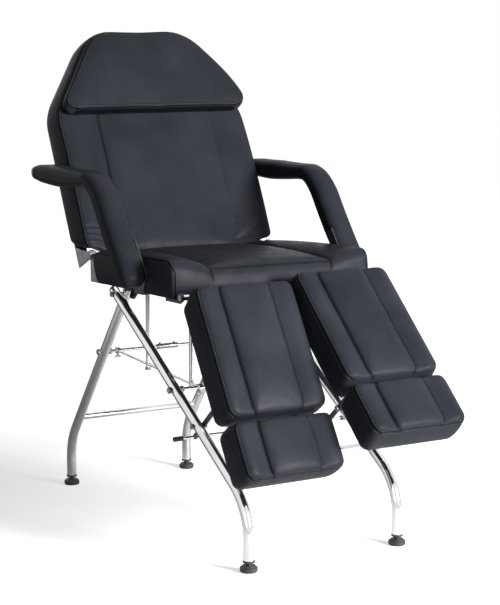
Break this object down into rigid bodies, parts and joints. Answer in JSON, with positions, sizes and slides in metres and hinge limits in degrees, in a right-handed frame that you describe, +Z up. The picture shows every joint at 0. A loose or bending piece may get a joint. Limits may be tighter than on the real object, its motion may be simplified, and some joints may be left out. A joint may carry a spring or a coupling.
{
  "type": "pedicure chair",
  "caption": "Pedicure chair in black padded leather on a chrome crossed-leg base, with a reclining back, a head pillow, folding armrests and split leg rests.",
  "frame": {"origin": "on the floor, midway between the front of the left heel pad and the back of the head, and midway between the two sides", "axes": "+Z up; the sitter faces -Y; the sitter's left side is +X"},
  "size_m": [0.762, 1.2737, 1.3509],
  "materials": {
    "chrome": "polished",
    "zinc": "zinc plated",
    "leather": "grained, semi-gloss",
    "plastic": "moulded, matt",
    "black_paint": "satin black",
    "plywood": "plywood with a black lining cloth"
  },
  "bodies": {
    "base": {"front_leg_left": "chrome", "front_leg_right": "chrome", "rear_leg_left": "chrome", "rear_leg_right": "chrome", "front_cross_tube": "chrome", "rear_cross_tube": "chrome", "front_stretcher": "chrome", "rear_stretcher": "chrome", "stretcher_sleeve": "zinc", "stretcher_nuts": "zinc", "stay_rods": "chrome", "stay_screws": "zinc", "seat_posts": "chrome", "post_nuts": "zinc", "leg_brackets": "black_paint", "leg_bolts": "zinc", "leg_caps": "plastic", "leg_collars": "plastic", "seat_board": "plywood", "seat_cushion": "leather", "seat_hinge_plates": "zinc", "back_hinge_bolts": "zinc", "leg_axle": "chrome", "axle_lugs": "black_paint", "stop_stays": "black_paint", "stop_bolts": "zinc", "foot_bar": "chrome", "foot_bar_caps": "plastic", "armrest_brackets": "black_paint", "armrest_bolts": "zinc"},
    "backrest": {"back_board": "plywood", "back_cushion": "leather", "head_pillow": "leather", "back_hinge_left": "zinc", "back_hinge_right": "zinc"},
    "foot_fl": {"foot_front_left": "plastic"},
    "foot_fr": {"foot_front_right": "plastic"},
    "foot_rl": {"foot_rear_left": "plastic"},
    "foot_rr": {"foot_rear_right": "plastic"},
    "armrest_left_body": {"armrest_pad_left": "leather", "armrest_plate_left": "black_paint"},
    "armrest_right_body": {"armrest_pad_right": "leather", "armrest_plate_right": "black_paint"},
    "leg_rest_left": {"calf_cushion_left": "leather", "calf_board_left": "plywood", "leg_arms_left": "black_paint"},
    "leg_rest_right": {"calf_cushion_right": "leather", "calf_board_right": "plywood", "leg_arms_right": "black_paint"},
    "heel_rest_left": {"heel_cushion_left": "leather", "heel_board_left": "plywood", "heel_rods_left": "chrome"},
    "heel_rest_right": {"heel_cushion_right": "leather", "heel_board_right": "plywood", "heel_rods_right": "chrome"}
  },
  "joints": [
    {"name": "backrest_recline", "type": "hinge", "parent": "base", "child": "backrest", "pos_m": [0, 0.27722, 0.733], "axis": [1, 0, 0], "range_deg": [-65.4, 9.6]},
    {"name": "armrest_left_lift", "type": "hinge", "parent": "base", "child": "armrest_left_body", "pos_m": [0, -0.05978, 0.716], "axis": [1, 0, 0], "range_deg": [0, 75]},
    {"name": "armrest_right_lift", "type": "hinge", "parent": "base", "child": "armrest_right_body", "pos_m": [0, -0.05978, 0.716], "axis": [1, 0, 0], "range_deg": [0, 75]},
    {"name": "leg_rest_left_lift", "type": "hinge", "parent": "base", "child": "leg_rest_left", "pos_m": [0, -0.22778, 0.667], "axis": [-1, 0, 0], "range_deg": [-15.4, 44.4]},
    {"name": "leg_rest_right_lift", "type": "hinge", "parent": "base", "child": "leg_rest_right", "pos_m": [0, -0.22778, 0.667], "axis": [-1, 0, 0], "range_deg": [0, 59.8]},
    {"name": "heel_rest_left_slide", "type": "slide", "parent": "leg_rest_left", "child": "heel_rest_left", "axis": [0, -0.7145, -0.6997], "range_m": [0, 0.11]},
    {"name": "heel_rest_right_slide", "type": "slide", "parent": "leg_rest_right", "child": "heel_rest_right", "axis": [0, -0.503, -0.8643], "range_m": [0, 0.11]},
    {"name": "foot_front_left_screw", "type": "slide", "parent": "base", "child": "foot_fl", "axis": [0, 0, -1], "range_m": [0, 0.015]},
    {"name": "foot_front_right_screw", "type": "slide", "parent": "base", "child": "foot_fr", "axis": [0, 0, -1], "range_m": [0, 0.015]},
    {"name": "foot_rear_left_screw", "type": "slide", "parent": "base", "child": "foot_rl", "axis": [0, 0, -1], "range_m": [0, 0.015]},
    {"name": "foot_rear_right_screw", "type": "slide", "parent": "base", "child": "foot_rr", "axis": [0, 0, -1], "range_m": [0, 0.015]}
  ]
}
